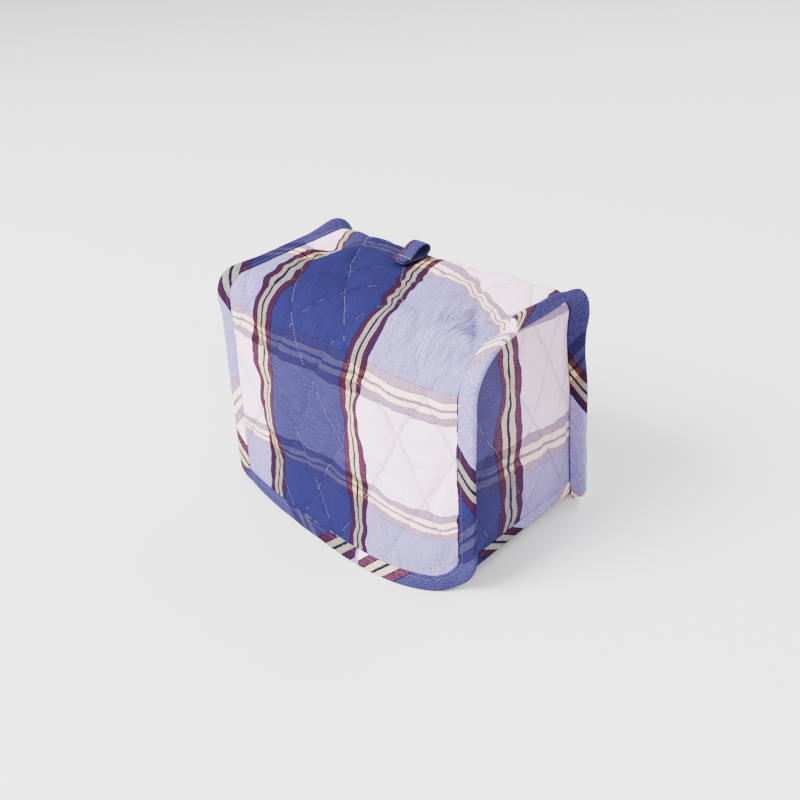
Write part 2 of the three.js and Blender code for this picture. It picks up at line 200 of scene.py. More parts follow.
def value_at(rows, place):
    """Eased value between the rows of a two-column table."""
    if place <= rows[0][0]:
        return rows[0][1]
    for (low, start), (high, end) in zip(rows, rows[1:]):
        if place <= high:
            return start + (end - start) * eased((place - low) / (high - low))
    return rows[-1][1]


def section_at(t):
    """Three straight runs joined by two arcs in the plane across the cover, at t across."""
    bow = 1 - t * t
    corners = [
        Vector((-(front_depth + front_bow * bow), 0)),
        Vector((-(front_depth + front_lean + top_bow * bow), value_at(front_top, t))),
        Vector((back_depth - back_lean + top_bow * bow, value_at(back_top, t))),
        Vector((back_depth + top_bow * bow, 0)),
    ]
    ways = [(corners[i + 1] - corners[i]).normalized() for i in range(3)]
    radii = [value_at(front_radius, t), value_at(back_radius, t)]
    turns = [math.acos(ways[i].dot(ways[i + 1])) for i in range(2)]
    cuts = [radii[i] * math.tan(turns[i] / 2) for i in range(2)]
    lengths = [
        (corners[1] - corners[0]).length - cuts[0],
        radii[0] * turns[0],
        (corners[2] - corners[1]).length - cuts[0] - cuts[1],
        radii[1] * turns[1],
        (corners[3] - corners[2]).length - cuts[1],
    ]
    return {"corners": corners, "ways": ways, "radii": radii, "cuts": cuts, "lengths": lengths}


def outward(way):
    return Vector((-way.y, way.x))


def arc_point(section, corner, distance):
    before = section["ways"][corner]
    radius = section["radii"][corner]
    start = section["corners"][corner + 1] - before * section["cuts"][corner]
    centre = start - outward(before) * radius
    way = before.copy()
    way.rotate(Matrix.Rotation(-distance / radius, 2))
    return centre + outward(way) * radius, outward(way)


sections = {}


def section_point(t, v):
    """The point and outward direction of the outer face, before hollows and swells."""
    key = round(t, 5)
    if key not in sections:
        sections[key] = section_at(key)
    section = sections[key]
    lengths = section["lengths"]
    total = sum(lengths)
    middle_run = cloth_length - front_run - back_run
    rest = front_run + (v - front_run) * (total - front_run - back_run) / middle_run
    if v <= front_run:
        rest = v
    if v >= cloth_length - back_run:
        rest = total - (cloth_length - v)
    part = 0
    while part < 4 and rest > lengths[part]:
        rest -= lengths[part]
        part += 1
    run = part // 2
    if part % 2:
        return arc_point(section, run, rest)
    way = section["ways"][run]
    start = section["cuts"][run - 1] if run else 0
    return section["corners"][run] + way * (start + rest), outward(way)


def flare_at(t, v):
    """How far the hems stand out, to the front or back."""
    full = 1 - abs(t) ** flare_power["right" if t > 0 else "left"]
    front = max(0, 1 - v / flare_height) ** flare_fall
    back = max(0, 1 - (cloth_length - v) / flare_height) ** flare_fall
    pushed = front_flare * full + flare_twist * math.sin(math.pi * t)
    return back_flare * full * back - pushed * front


def cloth_point(u, v, out=0):
    """Place of the cloth in millimetres; past the seam it is the flange."""
    side = -1 if u < 0 else 1
    past = max(0, abs(u) - panel_half_width)
    t = (u - side * past) / panel_half_width
    point, normal = section_point(t, v)
    point = point + Vector((flare_at(t, v), 0))
    for centre_u, centre_v, spread_u, spread_v, depth in swells:
        far = ((u - side * past - centre_u) / spread_u) ** 2 + ((v - centre_v) / spread_v) ** 2
        if far < spread_limit**2:
            point = point + normal * depth * math.exp(-far)
    tilt = math.radians(value_at(left_tilt if side < 0 else right_tilt, v)) if past > 0 else 0
    point = point + normal * (past * math.sin(tilt) + out * math.cos(tilt))
    seam = value_at(left_seam if side < 0 else right_seam, v)
    x = t * seam + side * (past * math.cos(tilt) - out * math.sin(tilt))
    return Vector((x, point.x, point.y)) + frame_shift


# How far the stitched lines wander from an even lattice, in diamonds, by place across or along.
falling_across = [(-40, -0.22), (25, -0.12), (67, 0.23)]
falling_along = [(220, 0), (340, -0.25)]
rising_across = [(-55, -0.02), (0, -0.10), (30, -0.20), (120, -0.33)]
rising_along = [(110, 0), (180, -0.18)]
rising_limit = -0.34


def lattice_place(u, v):
    """Where a place lies in the two families of stitched lines; whole numbers are the lines."""
    across = (u - diamond_anchor[0]) / diamond_width
    along = (v - diamond_anchor[1]) / diamond_height
    falling = value_at(falling_across, u) + value_at(falling_along, v)
    rising = value_at(rising_across, u) + value_at(rising_along, v)
    return across + along - falling, across - along - max(rising, rising_limit)


def puff_at(falling, rising):
    """0 on the stitched lines and 1 in the middle of a diamond."""
    return abs(math.sin(math.pi * falling) * math.sin(math.pi * rising)) ** puff_roundness


def panel_limit(side, v):
    """Half width of the panel at v, less the rounding of its corner on that side."""
    limit = panel_half_width
    hand = "left" if side < 0 else "right"
    for end, depth in (("front", v - binding_width), ("back", cloth_length - binding_width - v)):
        radius = binding_corners[f"{end}_{hand}"] - binding_width
        into = max(0, radius - depth)
        limit -= radius - math.sqrt(max(0, radius**2 - into**2))
    return limit


def rounded_column(u, v):
    """Draws the outer columns in beside a rounded corner."""
    side = -1 if u < 0 else 1
    kept = panel_half_width - corner_reach
    if abs(u) <= kept:
        return u
    limit = panel_limit(side, v)
    return side * (kept + (abs(u) - kept) * (limit - kept) / (panel_half_width - kept))


# Places of the stripe groups in the flat panel. The weave repeats every two groups.
stripe_spacing = 118
stripe_half = 15.5
weave_repeat = 2 * stripe_spacing
stitch_slip = 2.6
fine_slip = 1.3


def table(columns, *rows):
    """Rows of a table, each with its columns by name."""
    return [dict(zip(columns.split(), row)) for row in rows]


# Across, by place along: left edge, middle and right edge of two groups, and the third's left edge.
warp_places = table(
    "v left_1 mid_1 right_1 left_2 mid_2 right_2 left_3",
    (0, -97, -80, -69, 24, 38, 52, 137), (40, -93, -79, -67, 29, 40, 50, 137),
    (60, -92, -78, -67, 26, 34, 47, 137), (80, -96, -84, -72, 22, 34, 47, 137),
    (100, -105, -91, -80, 18, 32, 46, 138), (120, -107, -94, -82, 17, 31, 43, 137),
    (140, -102, -91, -81, 17, 27, 36, 137), (160, -110, -94, -82, 15, 25, 33, 138),
    (180, -109, -91, -79, 14, 27, 38, 138), (205, -103, -88, -75, 17, 31, 44, 138),
    (232, -105, -93, -78, 21, 34, 47, 139), (256, -112, -98, -78, 22, 34, 43, 139),
    (280, -120, -107, -91, 10, 22, 33, 138), (304, -127, -115, -104, 0, 12, 24, 137),
    (324, -130, -119, -107, -10, 3, 16, 136), (344, -115, -110, -105, -19, -6, 8, 134),
    (360, -121, -117, -113, -24, -10, 4, 131), (376, -128, -123, -118, -27, -13, 2, 129),
    (420, -130, -116, -102, -28, -14, 1, 124), (480, -121, -106, -92, -19, -4, 10, 121),
    (630, -112, -97, -82, 5, 20, 35, 124),
)

# Along, by place across: low edge, middle and high edge of three groups, from the front to the top.
weft_places = table(
    "u low_1 mid_1 high_1 low_2 mid_2 high_2 low_3 mid_3 high_3",
    (-140, 66, 76, 87, 186, 198, 213, 298, 311, 330),
    (-115, 67, 76, 88, 184, 201, 215, 300, 313, 332),
    (-92, 68, 79, 90, 180, 198, 211, 348, 364, 380),
    (-66, 66, 74, 91, 178, 195, 209, 351, 366, 382),
    (-40, 67, 78, 94, 179, 194, 210, 355, 370, 384),
    (-8, 69, 84, 97, 177, 193, 210, 346, 362, 381),
    (22, 66, 81, 91, 175, 193, 208, 341, 358, 380),
    (50, 62, 75, 88, 172, 190, 205, 340, 351, 365),
    (78, 57, 72, 83, 170, 186, 204, 320, 330, 341),
    (98, 55, 67, 81, 170, 186, 203, 310, 317, 327),
    (120, 56, 66, 83, 172, 187, 204, 297, 308, 321),
    (140, 63, 74, 88, 175, 190, 206, 272, 286, 302),
)


def row_at(rows, key, place, blend=eased):
    """All columns of a table at a place between its rows."""
    if place <= rows[0][key]:
        return rows[0]
    for low, high in zip(rows, rows[1:]):
        if place <= high[key]:
            share = blend((place - low[key]) / (high[key] - low[key]))
            return {name: low[name] + (high[name] - low[name]) * share for name in low}
    return rows[-1]


def through(pairs, place):
    """Straight interpolation that runs on past both ends at the weave's own scale."""
    if place <= pairs[0][0]:
        return pairs[0][1] + place - pairs[0][0]
    for (low, start), (high, end) in zip(pairs, pairs[1:]):
        if place <= high:
            return start + (end - start) * (place - low) / (high - low)
    return pairs[-1][1] + place - pairs[-1][0]


def stripe_anchors(row, names, middles):
    """Pairs of place in the cloth and place in the woven check."""
    pairs = []
    for number, middle in enumerate(middles, 1):
        for part, offset in zip(names, (-stripe_half, 0, stripe_half)):
            column = f"{part}_{number}"
            if column in row:
                pairs.append((row[column], middle + offset))
    return pairs


def stitch_shift(lines, u, v, seed):
    """Small slips of the weave where stitched lines cross it, a different one in each diamond."""
    cell = Vector((math.floor(lines[0]) * 7.3, math.floor(lines[1]) * 5.1, seed))
    fine = Vector((u / 11, v / 9, seed + 4))
    return noise.noise(cell) * stitch_slip + noise.noise(fine) * fine_slip


def weave_place(u, v):
    """Place in the woven check, in millimetres of the cloth before it was quilted."""
    lines = lattice_place(u, v)
    across = row_at(warp_places, "v", v + stitch_shift(lines, u, v, 2))
    along = row_at(weft_places, "u", u)
    middles = [stripe_spacing * (number + 0.5) for number in range(4)]
    warp_pairs = stripe_anchors(across, ("left", "mid", "right"), middles[:3])
    weft_pairs = stripe_anchors(along, ("low", "mid", "high"), middles[1:])
    return (through(warp_pairs, u + stitch_shift(lines, u, v, 9)),
            through(weft_pairs, v + stitch_shift(lines, u, v, 17)))


def new_node(tree, kind, **values):
    node = tree.nodes.new(kind)
    for name, value in values.items():
        setattr(node, name, value)
    return node


def joined(tree, node, slot, value):
    """Puts a number, a colour or another node's output into an input."""
    if isinstance(value, bpy.types.NodeSocket):
        tree.links.new(value, node.inputs[slot])
    else:
        node.inputs[slot].default_value = value


def math_of(tree, operation, *values):
    node = new_node(tree, "ShaderNodeMath", operation=operation)
    for slot, value in enumerate(values):
        joined(tree, node, slot, value)
    return node.outputs[0]


def sum_of(tree, total, *values):
    for value in values:
        total = math_of(tree, "ADD", total, value)
    return total


def product_of(tree, total, *values):
    for value in values:
        total = math_of(tree, "MULTIPLY", total, value)
    return total


def beat_of(tree, run, pitch):
    """Share of the way through each repeat."""
    return math_of(tree, "FRACT", math_of(tree, "DIVIDE", run, pitch))


def falling_off(tree, distance, rate):
    """1 at no distance, and near 0 sooner at a higher rate."""
    return math_of(tree, "POWER", 2.718, product_of(tree, distance, -rate))


def scaled(tree, vector, scale):
    node = new_node(tree, "ShaderNodeVectorMath", operation="SCALE")
    joined(tree, node, 0, vector)
    joined(tree, node, "Scale", scale)
    return node.outputs[0]


def split_place(tree, place):
    node = new_node(tree, "ShaderNodeSeparateXYZ")
    joined(tree, node, 0, place)
    return node.outputs["X"], node.outputs["Y"]


def paired_place(tree, first, second):
    node = new_node(tree, "ShaderNodeCombineXYZ")
    joined(tree, node, "X", first)
    joined(tree, node, "Y", second)
    return node.outputs["Vector"]


def new_group(name, inputs, outputs):
    """An empty node group with named sockets, its input node and its output node."""
    group = bpy.data.node_groups.new(name, "ShaderNodeTree")
    for way, sockets in (("INPUT", inputs), ("OUTPUT", outputs)):
        for label, kind in sockets.items():
            group.interface.new_socket(label, in_out=way, socket_type="NodeSocket" + kind)
    return group, group.nodes.new("NodeGroupInput"), group.nodes.new("NodeGroupOutput")


def group_node(tree, group, **values):
    node = new_node(tree, "ShaderNodeGroup", node_tree=group)
    for name, value in values.items():
        joined(tree, node, name.capitalize(), value)
    return node


def colour_mix(tree, share, first, second, blend="MIX"):
    """Mixes two colours. The colour sockets of a Mix node are its inputs 6 and 7 and its output 2."""
    node = new_node(tree, "ShaderNodeMix", data_type="RGBA", blend_type=blend)
    joined(tree, node, "Factor", share)
    joined(tree, node, 6, first)
    joined(tree, node, 7, second)
    return node.outputs[2]


def noise_of(tree, place, scale_x, scale_y, detail):
    """Noise of about -0.25 to 0.25 over a place in millimetres."""
    mapping = new_node(tree, "ShaderNodeMapping")
    joined(tree, mapping, "Vector", place)
    joined(tree, mapping, "Scale", (scale_x, scale_y, 1))
    texture = new_node(tree, "ShaderNodeTexNoise", noise_dimensions="2D")
    joined(tree, texture, "Vector", mapping.outputs["Vector"])
    joined(tree, texture, "Scale", 1)
    joined(tree, texture, "Detail", detail)
    return math_of(tree, "SUBTRACT", texture.outputs["Fac"], 0.5)


# Reflectance of each yarn as warp and as weft, and the share of weft seen where it is the warp.
yarns = {
    "white": {"warp": (0.94, 0.67, 0.86), "weft": (0.94, 0.70, 0.88), "share": 0.39},
    "blue": {"warp": (0.0152, 0.0140, 0.0640), "weft": (0.0135, 0.0172, 0.1180), "share": 0.15},
    "burgundy": {"warp": (0.0340, 0.0065, 0.0180), "weft": (0.0350, 0.0135, 0.0340), "share": 0.17},
    "cream": {"warp": (0.43, 0.345, 0.170), "weft": (0.93, 0.70, 0.25), "share": 0.27},
    "navy": {"warp": (0.008, 0.006, 0.018), "weft": (0.006, 0.004, 0.014), "share": 0.05},
}
# Yarns are mixed as this root of their reflectance, as fine dark and light threads look together.
# Painted shade leans the cloth to a colour that is pale at that root, a muted mauve-grey, and yarns lie
# a pitch apart.
mixing_root = 8
painted_shade_colour = (0.795, 0.75, 0.818, 1)
yarn_pitch = 0.9

# One stripe group from edge to edge: where each yarn starts, from the group's middle.
stripe_group = [
    (-15.5, "navy"), (-14.4, "burgundy"), (-7.8, "navy"), (-6.6, "cream"), (-1.0, "navy"),
    (1.0, "cream"), (6.6, "navy"), (7.8, "burgundy"), (14.4, "navy"),
]


def yarn_ramp(tree, place, way):
    """Yarn at a place across the stripes: white, a group, blue, a group and white again."""
    stops = [(0, "white")]
    for middle, after in ((stripe_spacing / 2, "blue"), (stripe_spacing * 1.5, "white")):
        stops += [(middle + start, yarn) for start, yarn in stripe_group]
        stops.append((middle + stripe_half, after))
    node = new_node(tree, "ShaderNodeValToRGB")
    ramp = node.color_ramp
    ramp.interpolation = "CONSTANT"
    while len(ramp.elements) < len(stops):
        ramp.elements.new(0.5)
    for element, (start, yarn) in zip(ramp.elements, stops):
        element.position = start / weave_repeat
        mixable = [value ** (1 / mixing_root) for value in yarns[yarn][way]]
        element.color = (*mixable, yarns[yarn]["share"])
    joined(tree, node, "Fac", beat_of(tree, place, weave_repeat))
    return node.outputs["Color"], node.outputs["Alpha"]


def woven_check_group():
    """Woven cotton: warp and weft yarns over each other, with slubs and the grain of single yarns."""
    group, entry, result = new_group(
        "woven_check",
        {"Weave": "Vector", "Slubs": "Float", "Fading": "Float"},
        {"Color": "Color", "Height": "Float"},
    )
    weave = entry.outputs["Weave"]
    warp, weft = split_place(group, weave)
    slip = product_of(group, noise_of(group, weave, 0.55, 0.55, 1.5), 0.9)
    warp_colour, share = yarn_ramp(group, sum_of(group, warp, slip), "warp")
    weft_colour, _ = yarn_ramp(group, sum_of(group, weft, slip), "weft")

    warp_slubs = noise_of(group, weave, 1.1, 0.05, 2)
    weft_slubs = noise_of(group, weave, 0.06, 1.2, 2)
    speckle = noise_of(group, weave, 1.05, 0.85, 1)
    uneven = sum_of(group, product_of(group, weft_slubs, 0.4), product_of(group, speckle, 0.8),
                    product_of(group, warp_slubs, -0.3))
    shown = sum_of(group, share, product_of(group, uneven, entry.outputs["Slubs"]))
    shown = math_of(group, "MINIMUM", math_of(group, "MAXIMUM", shown, 0.04), 0.9)
    mixed = colour_mix(group, shown, warp_colour, weft_colour)
    # Painted shade: this mix leans the cloth toward the muted mauve-grey, greying the white yarns and
    # lifting the dark ones, as the end panels look in shade.
    shade_tinted = colour_mix(group, entry.outputs["Fading"], mixed, painted_shade_colour)
    reflected = new_node(group, "ShaderNodeGamma")
    joined(group, reflected, "Color", shade_tinted)
    joined(group, reflected, "Gamma", mixing_root)
    shade = sum_of(group, 1, product_of(group, warp_slubs, 0.35), product_of(group, weft_slubs, 0.2))
    joined(group, result, "Color", scaled(group, reflected.outputs["Color"], shade))

    turn = 2 * math.pi / yarn_pitch
    ribs = [math_of(group, "SINE", product_of(group, place, turn)) for place in (warp, weft)]
    height = product_of(group, *ribs, 0.035)
    for texture, depth in ((warp_slubs, 0.22), (weft_slubs, 0.14), (speckle, 0.12)):
        height = sum_of(group, height, product_of(group, texture, depth))
    joined(group, result, "Height", height)
    return group


# Running stitches of the quilting: length of a stitch and its gap, half width of the thread, and the
# noise above which stitches show on falling and on rising lines.
stitch_pitch = 2.7
thread_half = 0.22
stitches_bare = {"SUBTRACT": -0.07, "ADD": 0.06}
thread_colour = (0.60, 0.56, 0.66, 1)


def quilt_lines_group():
    """Running stitches on two families of lines, the groove they pull and the puckers beside it, and a
    mask for painted shade along the lines.
    """
    group, entry, result = new_group(
        "quilt_lines",
        {"Lines": "Vector", "Place": "Vector", "Width": "Float", "Height": "Float"},
        {"Stitch": "Float", "Relief": "Float", "Groove_shade": "Float"},
    )
    place, width, height = (entry.outputs[label] for label in ("Place", "Width", "Height"))
    lines = split_place(group, entry.outputs["Lines"])
    u, v = split_place(group, place)
    wander = product_of(group, noise_of(group, place, 0.04, 0.03, 1), 0.09)
    patchy = noise_of(group, place, 0.06, 0.06, 1)
    squares = [math_of(group, "POWER", side, 2) for side in (width, height)]
    diagonal = math_of(group, "SQRT", sum_of(group, *squares))
    spacing, run_u, run_v = (
        math_of(group, "DIVIDE", product_of(group, *sides), diagonal)
        for sides in ((width, height), (u, width), (v, height))
    )

    stitches, reliefs, groove_shade_masks = [], [], []
    for line, (run_operation, bare) in zip(lines, stitches_bare.items()):
        part = math_of(group, "FRACT", sum_of(group, line, wander, 0.5))
        offset = math_of(group, "SUBTRACT", part, 0.5)
        distance = product_of(group, math_of(group, "ABSOLUTE", offset), spacing)
        run = math_of(group, run_operation, run_u, run_v)
        dash = math_of(group, "LESS_THAN", beat_of(group, run, stitch_pitch), 0.5)
        thread = math_of(group, "LESS_THAN", distance, thread_half)
        seen = math_of(group, "GREATER_THAN", patchy, bare)
        stitches.append(product_of(group, dash, thread, seen))
        narrow = falling_off(group, distance, 0.8)
        puckers = noise_of(group, paired_place(group, run, distance), 0.22, 0.05, 1)
        folds = product_of(group, puckers, falling_off(group, distance, 0.16), 1.25)
        reliefs.append(sum_of(group, product_of(group, narrow, -0.4), folds))
        # This mask only paints shade into the colour along the stitched lines; the relief above is
        # their real dent.
        groove_shade_masks.append(narrow)
    joined(group, result, "Stitch", math_of(group, "MAXIMUM", *stitches))
    joined(group, result, "Relief", sum_of(group, *reliefs))
    joined(group, result, "Groove_shade", math_of(group, "MAXIMUM", *groove_shade_masks))
    return group


def crepe_group():
    """Fine crinkles along the warp, where the cloth has shrunk across its yarns: their relief, and
    their light and shade painted into the colour.
    """
    group, entry, result = new_group(
        "crepe", {"Weave": "Vector", "Amount": "Float"}, {"Height": "Float", "Crinkle_painted_light": "Float"})
    weave = entry.outputs["Weave"]
    warp, weft = split_place(group, weave)
    sway = product_of(group, noise_of(group, weave, 0.06, 0.05, 2), 2.5)
    ridge = noise_of(group, paired_place(group, sum_of(group, warp, sway), weft), 0.85, 0.04, 1.5)
    shaped = product_of(group, ridge, entry.outputs["Amount"])
    joined(group, result, "Height", product_of(group, shaped, 0.9))
    # Painted light and shade of the crinkles, lighter and darker along them, multiplied into the
    # colour.
    joined(group, result, "Crinkle_painted_light", product_of(group, shaped, 1.7))
    return group


woven_check = woven_check_group()
quilt_lines = quilt_lines_group()
crepe = crepe_group()

# Where the crepe shows most: centre u, v, spread u, v and strength.
crepe_patches = [(96, 268, 46, 62, 1.0), (-30, 262, 70, 60, 0.4), (-122, 262, 26, 40, 0.5)]
crepe_elsewhere = 0.12
quilted_slubs = 0.45
# UV layers hold places in this many millimetres.
uv_unit = 100


def uv_place(tree, layer):
    """Place in millimetres from a UV layer."""
    node = new_node(tree, "ShaderNodeUVMap", uv_map=layer)
    return scaled(tree, node.outputs["UV"], uv_unit)


def cotton_material(name):
    """A matt cotton material and its node tree."""
    material = plain_material(name, (1, 1, 1), 0.95)
    tree = material.node_tree
    joined(tree, tree.nodes["Principled BSDF"], "Specular IOR Level", 0.03)
    return material, tree


def cotton_surface(tree, colour, height):
    """Gives a material its colour, and its relief from a height in millimetres."""
    bump = new_node(tree, "ShaderNodeBump")
    joined(tree, bump, "Distance", 0.001)
    joined(tree, bump, "Strength", 0.9)
    joined(tree, bump, "Height", height)
    shader = tree.nodes["Principled BSDF"]
    joined(tree, shader, "Base Color", colour)
    joined(tree, shader, "Normal", bump.outputs["Normal"])


def quilted_material(name, width, height, crepe_spots, fading):
    """Check cotton with its quilting lines, crepe and grain, for diamonds of a width and height."""
    material, tree = cotton_material(name)
    flat = uv_place(tree, "flat")
    weave = uv_place(tree, "weave")
    cloth = group_node(tree, woven_check, weave=weave, slubs=quilted_slubs, fading=fading)
    quilt = group_node(
        tree, quilt_lines, lines=uv_place(tree, "quilt"), place=flat, width=width, height=height)

    amount = crepe_elsewhere
    places = split_place(tree, flat)
    for *spot, strength in crepe_spots:
        parts = []
        for place, centre, spread in zip(places, spot[:2], spot[2:]):
            off = math_of(tree, "DIVIDE", math_of(tree, "SUBTRACT", place, centre), spread)
            parts.append(math_of(tree, "POWER", math_of(tree, "ABSOLUTE", off), 4))
        near = product_of(tree, falling_off(tree, sum_of(tree, *parts), 1), strength)
        amount = math_of(tree, "MAXIMUM", amount, near)
    folds = group_node(tree, crepe, weave=weave, amount=amount)

    # Painted shade: the colour is darkened along the stitched lines, more on light yarns, where the
    # grooves would lie in shade.
    lightness = new_node(tree, "ShaderNodeRGBToBW")
    joined(tree, lightness, 0, cloth.outputs["Color"])
    groove = sum_of(tree, 0.12, product_of(tree, lightness.outputs[0], 0.42))
    dark = math_of(tree, "SUBTRACT", 1, product_of(tree, quilt.outputs["Groove_shade"], groove))
    # Painted light and shade of the crepe crinkles is added to the colour's multiplier here.
    dark = sum_of(tree, dark, folds.outputs["Crinkle_painted_light"])
    shaded = colour_mix(tree, 1, cloth.outputs["Color"], dark, "MULTIPLY")
    stitch = quilt.outputs["Stitch"]
    threaded = colour_mix(tree, product_of(tree, stitch, 0.38), shaded, thread_colour)
    relief = sum_of(tree, cloth.outputs["Height"], quilt.outputs["Relief"], folds.outputs["Height"],
                    product_of(tree, stitch, 0.3))
    cotton_surface(tree, threaded, relief)
    return material


def grid_piece(name, columns, rows, place_of, layers, material):
    """A grid moved to place_of(share across, share along), with a UV layer for each of layers."""
    mesh = bpy.data.meshes.new(name)
    shape = bmesh.new()
    bmesh.ops.create_grid(shape, x_segments=columns, y_segments=rows, size=0.5)
    shape.verts.ensure_lookup_table()
    shares = {vertex.index: (vertex.co.x + 0.5, vertex.co.y + 0.5) for vertex in shape.verts}
    for layer_name, layer_place in layers.items():
        layer = shape.loops.layers.uv.new(layer_name)
        places = {index: layer_place(*share) for index, share in shares.items()}
        for face in shape.faces:
            for loop in face.loops:
                loop[layer].uv = [value / uv_unit for value in places[loop.vert.index]]
    for vertex in shape.verts:
        vertex.co = place_of(*shares[vertex.index]) / 1000
    for face in shape.faces:
        face.smooth = True
    shape.normal_update()
    shape.to_mesh(mesh)
    shape.free()
    mesh.materials.append(material)
    return placed(name, mesh)


def thicken(piece, thickness):
    """Thickens a sheet inwards from its outer face and closes its rim."""
    solidify = piece.modifiers.new("thickness", "SOLIDIFY")
    solidify.thickness = thickness / 1000
    solidify.offset = -1
    solidify.use_even_offset = False
    solidify.use_rim = True


# Small soft creases seen in the cloth: ends u, v of each, width and depth.
creases = [
    (60, 150, 96, 118, 6, -1.6),
    (96, 118, 128, 132, 5, -1.6),
    (70, 30, 104, 18, 8, 1.2),
    (104, 36, 128, 22, 7, -1.2),
    (-60, 120, -30, 60, 8, -0.8),
    (-20, 150, 6, 110, 7, -0.8),
    (-128, 150, -118, 100, 6, -1.2),
    (100, 330, 132, 300, 7, -2.2),
    (134, 253, 113, 281, 5, -2.6),
    (113, 281, 101, 297, 5, -3.0),
    (101, 297, 90, 322, 6, -2.2),
    (69, 170, 73, 142, 4, -2.0),
    (78, 141, 111, 136, 4, -2.0),
    (47, 109, 86, 102, 4, -1.8),
    (84, 132, 103, 92, 4, -1.9),
    (112, 88, 129, 134, 5, -2.2),
    (57, 36, 78, 31, 4, -1.8),
    (135, 46, 122, 22, 5, -2.2),
]


def crease_depth(u, v):
    depth = 0
    for start_u, start_v, end_u, end_v, width, height in creases:
        run_u, run_v = end_u - start_u, end_v - start_v
        share = ((u - start_u) * run_u + (v - start_v) * run_v) / (run_u**2 + run_v**2)
        held = min(1, max(0, share))
        far = math.hypot(u - start_u - run_u * held, v - start_v - run_v * held) / width
        if far < spread_limit:
            depth += height * math.exp(-far * far)
    return depth


panel_columns = 132
panel_rows = 280


def panel_flat(across, along):
    v = binding_width + along * (cloth_length - 2 * binding_width)
    return rounded_column((across * 2 - 1) * panel_half_width, v), v


def slack(u, v, seed):
    """Small unevenness of the cloth between its stitches."""
    return noise.noise(Vector((u / 26, v / 34, seed))) * 0.7


def panel_place(across, along):
    u, v = panel_flat(across, along)
    from_side = (1 - abs(across * 2 - 1)) * panel_half_width
    edge = min(from_side, v - binding_width, cloth_length - binding_width - v)
    puff = puff_height * puff_at(*lattice_place(u, v))
    return cloth_point(u, v, (puff + crease_depth(u, v) + slack(u, v, 3)) * eased(edge / flat_margin))


panel_material = quilted_material("check_quilt", diamond_width, diamond_height, crepe_patches, 0)
main_panel = grid_piece(
    "main_panel_cloth", panel_columns, panel_rows, panel_place,
    {
        "flat": panel_flat,
        "weave": lambda across, along: weave_place(*panel_flat(across, along)),
        "quilt": lambda across, along: lattice_place(*panel_flat(across, along)),
    },
    panel_material,
)
thicken(main_panel, quilt_thickness)
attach(main_panel, "root")
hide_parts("main_panel")


# End panels.
# Two ends of the same quilted check cotton, sewn inside the main panel's side edges.
# Each bellies out a little, and has one upright and one level group of stripes.
end_diamond_height = 100
end_anchor = (12, 36)
end_recess = 1.5
end_belly = 6
end_belly_reach = 60
end_hem_width = 14
end_hem_front = 13
end_hem_back = 6
end_low_front = end_hem_front + end_hem_width
end_low_back = cloth_length - end_hem_back - end_hem_width
end_columns = 76
end_rows = 92
end_crepe = [(40, 190, 50, 60, 0.12)]
# The ends' cloth is mixed this far toward the muted mauve-grey as painted shade, for ends that face
# away from the key light.
end_fading = 0.2
piece_gap = 0.3
seam_step = 10
outline_steps = 90

# Parts of the main panel's edge that an end panel's front, top and back edges follow.
front_turn = 230
back_turn = 402

# Stripe places on an end: left edge, middle and right edge of the upright group, by height, and low
# edge, middle and high edge of the level group, with the low edge of the next one, by place across.
end_upright = table(
    "z left mid right",
    (0, -33, -14, 4), (44, -36, -18, 4), (63, -37, -21, -1), (86, -42, -22, -4),
    (108, -43, -26, -7), (130, -45, -27, -6), (150, -45, -28, -7), (170, -41, -23, -7),
    (190, -37, -22, -5), (209, -38, -24, -7), (240, -42, -26, -10),
)
end_level = table(
    "y low mid high next",
    (-90, 90, 110, 130, 236), (-50, 88, 108, 128, 232), (-20, 85, 105, 126, 228),
    (6, 81, 102, 123, 225), (32, 78, 97, 117, 221), (58, 70, 89, 110, 218),
    (75, 66, 86, 107, 216), (99, 62, 82, 103, 214),
)
end_back_edge = 104


def seam_inset(side, v):
    """Place on an end panel's edge beside v on the main panel, as (y, z)."""
    seam_place = cloth_point(side * panel_half_width, v) - frame_shift
    inside_place = cloth_point(side * (panel_half_width - seam_step), v) - frame_shift
    _, normal = section_point(side, v)
    drop = (seam_place.y - inside_place.y) * normal.x + (seam_place.z - inside_place.z) * normal.y
    inward = quilt_thickness + piece_gap + max(0, drop)
    return Vector((seam_place.y - normal.x * inward, seam_place.z - normal.y * inward))


def end_patch(side):
    """A patch stretched between the front, top, back and lower edges of an end panel."""
    corners = [seam_inset(side, v) for v in (end_low_front, end_low_back, front_turn, back_turn)]

    def patch(across, up):
        front = seam_inset(side, end_low_front + (front_turn - end_low_front) * up)
        back = seam_inset(side, end_low_back + (back_turn - end_low_back) * up)
        top = seam_inset(side, front_turn + (back_turn - front_turn) * across)
        low = corners[0].lerp(corners[1], across)
        sides = front.lerp(back, across) + low.lerp(top, up)
        return sides - low.lerp(corners[2].lerp(corners[3], across), up)

    return patch


def end_outline(side):
    run = end_low_back - end_low_front
    return [seam_inset(side, end_low_front + run * k / outline_steps) for k in range(outline_steps + 1)]


def distance_to(outline, place):
    best = 1e9
    for start, end in zip(outline, outline[1:] + outline[:1]):
        run = end - start
        share = min(1, max(0, (place - start).dot(run) / run.length_squared))
        best = min(best, (place - start - run * share).length_squared)
    return math.sqrt(best)


def end_face_x(side, y, z, edge):
    seam = left_seam if side < 0 else right_seam
    front = value_at(seam, z)
    back = value_at(seam, cloth_length - z)
    share = (y + front_depth) / (front_depth + back_depth)
    return front + (back - front) * share - end_recess + end_belly * eased(edge / end_belly_reach)


